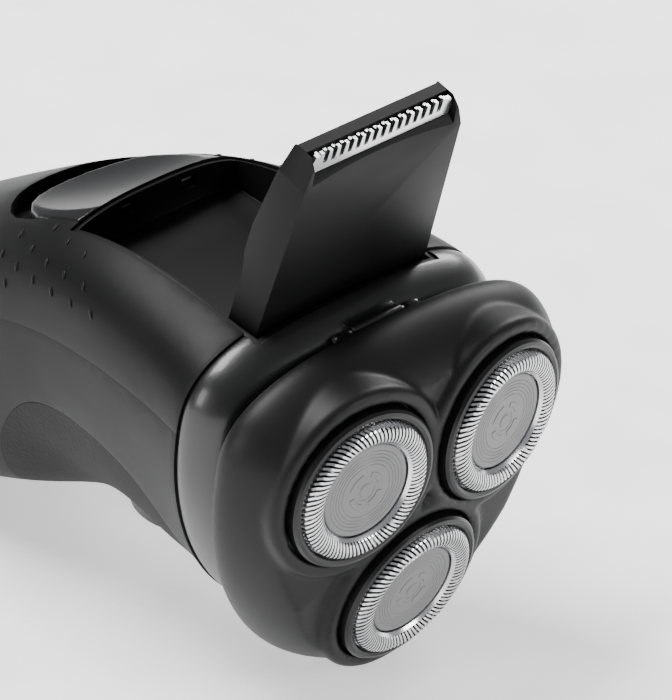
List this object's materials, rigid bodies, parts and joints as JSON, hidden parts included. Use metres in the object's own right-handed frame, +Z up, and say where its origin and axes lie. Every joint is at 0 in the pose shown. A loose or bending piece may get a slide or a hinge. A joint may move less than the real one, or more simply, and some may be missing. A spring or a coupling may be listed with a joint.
{
  "type": "rotary electric shaver",
  "caption": "Cordless rotary shaver with floating round heads on a flip-open unit and a pop-up trimmer that stands open behind it.",
  "frame": {"origin": "centre of the assembly's bounding box in X and Y, at the level of the surface it lies on", "axes": "+Z up, trimmer side up; the shaving face looks towards -Y and a little down, the handle runs towards +Y; X across"},
  "size_m": [0.0628, 0.1466, 0.0881],
  "materials": {
    "body_black": "fine matt",
    "grip_black": "soft, dimpled",
    "gloss_black": "gloss with fine sparkle",
    "cover_black": "satin",
    "inner_black": "satin",
    "disc_grey": "satin",
    "steel": "bright",
    "gear_white": "satin",
    "battery_wrap": "gloss",
    "board_green": "satin",
    "lens": "milky"
  },
  "bodies": {
    "shaver_body": {"rear_housing": "body_black", "front_housing": "body_black", "front_grip": "grip_black", "button_bezel": "gloss_black", "indicator_lens": "lens", "tail_cap": "body_black", "tail_screws": "steel", "charging_shell": "steel", "charging_tongue": "inner_black", "head_collar": "gloss_black", "drive_deck": "inner_black", "deck_screws": "steel", "gear_plate": "inner_black", "motor_can": "steel", "battery": "battery_wrap", "battery_contacts": "steel", "circuit_board": "board_green", "tact_switch": "inner_black", "trimmer_bay": "inner_black", "trimmer_hinge_pin": "steel", "trimmer_spring": "steel", "spindle_spring_1": "steel", "spindle_spring_2": "steel", "spindle_spring_3": "steel", "release_spring": "steel"},
    "rotor": {"motor_shaft": "steel"},
    "shaving_unit": {"shaving_cover": "cover_black", "flip_pin": "steel", "unit_seal": "grip_black", "retaining_frame": "inner_black"},
    "retainer_knob": {"frame_knob": "inner_black"},
    "trimmer": {"trimmer_frame": "cover_black", "trimmer_back_cover": "cover_black", "trimmer_comb": "steel", "trimmer_bar": "cover_black", "lever_post": "inner_black"},
    "trimmer_blade": {"trimmer_cutter": "steel"},
    "trimmer_rocker": {"trimmer_lever": "inner_black"},
    "release": {"release_slide": "gloss_black"},
    "power_key": {"power_button": "gloss_black"},
    "head_latch": {"head_latch_button": "gloss_black"},
    "gear_1": {"drive_gear_1": "gear_white"},
    "drive_spindle_1": {"spindle_1": "gear_white"},
    "head_1": {"guard_1": "steel", "cap_disc_1": "disc_grey", "holder_ring_1": "inner_black"},
    "rotary_cutter_1": {"cutter_1": "steel"},
    "gear_2": {"drive_gear_2": "gear_white"},
    "drive_spindle_2": {"spindle_2": "gear_white"},
    "head_2": {"guard_2": "steel", "cap_disc_2": "disc_grey", "holder_ring_2": "inner_black"},
    "rotary_cutter_2": {"cutter_2": "steel"},
    "gear_3": {"drive_gear_3": "gear_white"},
    "drive_spindle_3": {"spindle_3": "gear_white"},
    "head_3": {"guard_3": "steel", "cap_disc_3": "disc_grey", "holder_ring_3": "inner_black"},
    "rotary_cutter_3": {"cutter_3": "steel"}
  },
  "joints": [
    {"name": "motor_spin", "type": "hinge", "parent": "shaver_body", "child": "rotor", "pos_m": [0, -0.04958, 0.03491], "axis": [0, -0.9826, -0.1857], "continuous": true},
    {"name": "gear_spin_1", "type": "hinge", "parent": "shaver_body", "child": "gear_1", "pos_m": [-0.01351, -0.05103, 0.04258], "axis": [0, -0.9826, -0.1857], "continuous": true},
    {"name": "spindle_slide_1", "type": "slide", "parent": "gear_1", "child": "drive_spindle_1", "axis": [0, 0.9826, 0.1857], "range_m": [0, 0.0015], "deforming": ["spindle_spring_1"]},
    {"name": "gear_spin_2", "type": "hinge", "parent": "shaver_body", "child": "gear_2", "pos_m": [0.01351, -0.05103, 0.04258], "axis": [0, -0.9826, -0.1857], "continuous": true},
    {"name": "spindle_slide_2", "type": "slide", "parent": "gear_2", "child": "drive_spindle_2", "axis": [0, 0.9826, 0.1857], "range_m": [0, 0.0015], "deforming": ["spindle_spring_2"]},
    {"name": "gear_spin_3", "type": "hinge", "parent": "shaver_body", "child": "gear_3", "pos_m": [0, -0.04668, 0.01959], "axis": [0, -0.9826, -0.1857], "continuous": true},
    {"name": "spindle_slide_3", "type": "slide", "parent": "gear_3", "child": "drive_spindle_3", "axis": [0, 0.9826, 0.1857], "range_m": [0, 0.0015], "deforming": ["spindle_spring_3"]},
    {"name": "head_flip", "type": "hinge", "parent": "shaver_body", "child": "shaving_unit", "pos_m": [0, -0.05865, 0.056], "axis": [1, 0, 0], "range_deg": [-95, 0]},
    {"name": "retainer_turn", "type": "hinge", "parent": "shaving_unit", "child": "retainer_knob", "pos_m": [0, -0.05941, 0.03306], "axis": [0, -0.9826, -0.1857], "range_deg": [0, 90]},
    {"name": "head_float_1", "type": "slide", "parent": "shaving_unit", "child": "head_1", "axis": [0.092, 0.9869, 0.1324], "range_m": [0, 0.0015], "stiffness_N_per_m": 300, "springref_m": -0.001},
    {"name": "cutter_spin_1", "type": "hinge", "parent": "head_1", "child": "rotary_cutter_1", "pos_m": [-0.014, -0.07074, 0.03914], "axis": [-0.092, -0.9869, -0.1324], "continuous": true},
    {"name": "head_float_2", "type": "slide", "parent": "shaving_unit", "child": "head_2", "axis": [-0.092, 0.9869, 0.1324], "range_m": [0, 0.0015], "stiffness_N_per_m": 300, "springref_m": -0.001},
    {"name": "cutter_spin_2", "type": "hinge", "parent": "head_2", "child": "rotary_cutter_2", "pos_m": [0.014, -0.07074, 0.03914], "axis": [0.092, -0.9869, -0.1324], "continuous": true},
    {"name": "head_float_3", "type": "slide", "parent": "shaving_unit", "child": "head_3", "axis": [0, 0.9573, 0.289], "range_m": [0, 0.0015], "stiffness_N_per_m": 300, "springref_m": -0.001},
    {"name": "cutter_spin_3", "type": "hinge", "parent": "head_3", "child": "rotary_cutter_3", "pos_m": [0, -0.06623, 0.01532], "axis": [0, -0.9573, -0.289], "continuous": true},
    {"name": "trimmer_fold", "type": "hinge", "parent": "shaver_body", "child": "trimmer", "pos_m": [0, -0.04865, 0.05636], "axis": [1, 0, 0], "range_deg": [-100.8, 0], "deforming": ["trimmer_spring"]},
    {"name": "blade_stroke", "type": "slide", "parent": "trimmer", "child": "trimmer_blade", "axis": [1, 0, 0], "range_m": [-0.0008, 0.0008]},
    {"name": "rocker_swing", "type": "hinge", "parent": "trimmer", "child": "trimmer_rocker", "pos_m": [0, -0.05115, 0.06385], "axis": [0, -0.9483, -0.3173], "range_deg": [-2.4, 2.4]},
    {"name": "release_push", "type": "slide", "parent": "shaver_body", "child": "release", "axis": [0, 0.954, -0.2999], "range_m": [0, 0.003], "stiffness_N_per_m": 200, "springref_m": -0.002, "deforming": ["release_spring"]},
    {"name": "power_press", "type": "slide", "parent": "shaver_body", "child": "power_key", "axis": [0, -0.1857, 0.9826], "range_m": [0, 0.0006], "stiffness_N_per_m": 800, "springref_m": -0.0005},
    {"name": "latch_press", "type": "slide", "parent": "shaver_body", "child": "head_latch", "axis": [0, -0.1857, 0.9826], "range_m": [0, 0.0008], "stiffness_N_per_m": 800, "springref_m": -0.0005}
  ],
  "couplings": [
    {"joint": "gear_spin_1", "follows": "motor_spin", "ratio": -0.36842},
    {"joint": "spindle_slide_1", "follows": "head_float_1", "ratio": 0.99434},
    {"joint": "gear_spin_2", "follows": "motor_spin", "ratio": -0.36842},
    {"joint": "spindle_slide_2", "follows": "head_float_2", "ratio": 0.99434},
    {"joint": "gear_spin_3", "follows": "motor_spin", "ratio": -0.36842},
    {"joint": "spindle_slide_3", "follows": "head_float_3", "ratio": 0.99434},
    {"joint": "cutter_spin_1", "follows": "motor_spin", "ratio": -0.36842},
    {"joint": "cutter_spin_2", "follows": "motor_spin", "ratio": -0.36842},
    {"joint": "cutter_spin_3", "follows": "motor_spin", "ratio": -0.36842},
    {"joint": "rocker_swing", "follows": "blade_stroke", "rad_per_m": -46.5}
  ]
}
